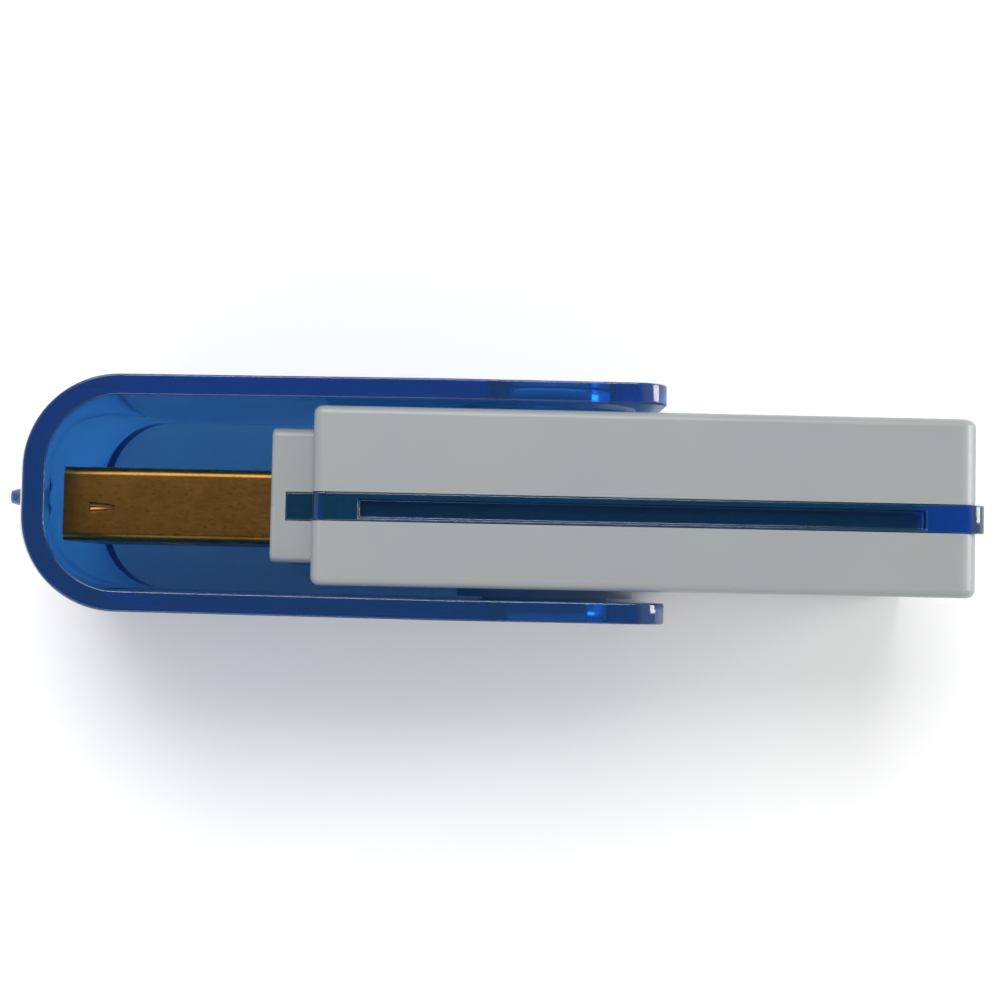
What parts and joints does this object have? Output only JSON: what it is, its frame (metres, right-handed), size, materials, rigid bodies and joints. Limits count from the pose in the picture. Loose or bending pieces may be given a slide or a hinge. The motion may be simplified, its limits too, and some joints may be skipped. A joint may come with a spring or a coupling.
{
  "type": "usb microcontroller programmer",
  "caption": "Stick-shaped USB programmer for microcontrollers: white two-part housing, translucent blue light bands, pin header at one end and a blue U-shaped cap that swivels over the plug.",
  "frame": {"origin": "centre of the tool's footprint as it lies on its narrow side; Z = 0 is the side face it rests on", "axes": "+X runs from the USB plug to the signal header, +Y runs towards the top cover, +Z runs across the width, up from the side it rests on"},
  "size_m": [0.0598, 0.0142, 0.02],
  "materials": {
    "cover_white": "satin moulded ABS",
    "cap_blue": "clear blue moulded polycarbonate",
    "band_blue": "clear dark blue moulded polycarbonate",
    "plug_gold": "gold-flashed sheet steel",
    "tongue_plastic": "moulded liquid crystal polymer",
    "contact_gold": "gold plating",
    "board_mask": "solder mask on glass epoxy",
    "chip_epoxy": "moulded epoxy",
    "tinned_lead": "matt tin plate",
    "can_steel": "drawn nickel steel",
    "tantalum_yellow": "moulded epoxy",
    "fuse_green": "epoxy coat",
    "led_red": "clear tinted epoxy",
    "led_blue": "clear tinted epoxy",
    "resistor_black": "glazed ceramic",
    "capacitor_tan": "fired ceramic",
    "header_plastic": "moulded nylon",
    "solder": "flowed solder"
  },
  "bodies": {
    "programmer": {"top_cover": "cover_white", "bottom_cover": "cover_white", "near_light_band": "band_blue", "far_light_band": "band_blue", "circuit_board": "board_mask", "usb_plug_shell": "plug_gold", "usb_plug_tongue": "tongue_plastic", "usb_plug_contacts": "contact_gold", "microcontroller": "chip_epoxy", "microcontroller_leads": "tinned_lead", "crystal_can": "can_steel", "crystal_base": "header_plastic", "voltage_regulator": "chip_epoxy", "regulator_leads": "tinned_lead", "tantalum_capacitor": "tantalum_yellow", "resettable_fuse": "fuse_green", "protection_diode": "chip_epoxy", "diode_leads": "tinned_lead", "power_led": "led_red", "status_led": "led_blue", "chip_resistors": "resistor_black", "chip_capacitors": "capacitor_tan", "signal_header_base": "header_plastic", "signal_header_pins": "contact_gold", "header_solder": "solder"},
    "cap": {"swivel_cap": "cap_blue"}
  },
  "joints": [
    {"name": "cap_swivel", "type": "hinge", "parent": "programmer", "child": "cap", "pos_m": [0.00416, 0, 0.01], "axis": [0, 1, 0], "continuous": true}
  ]
}
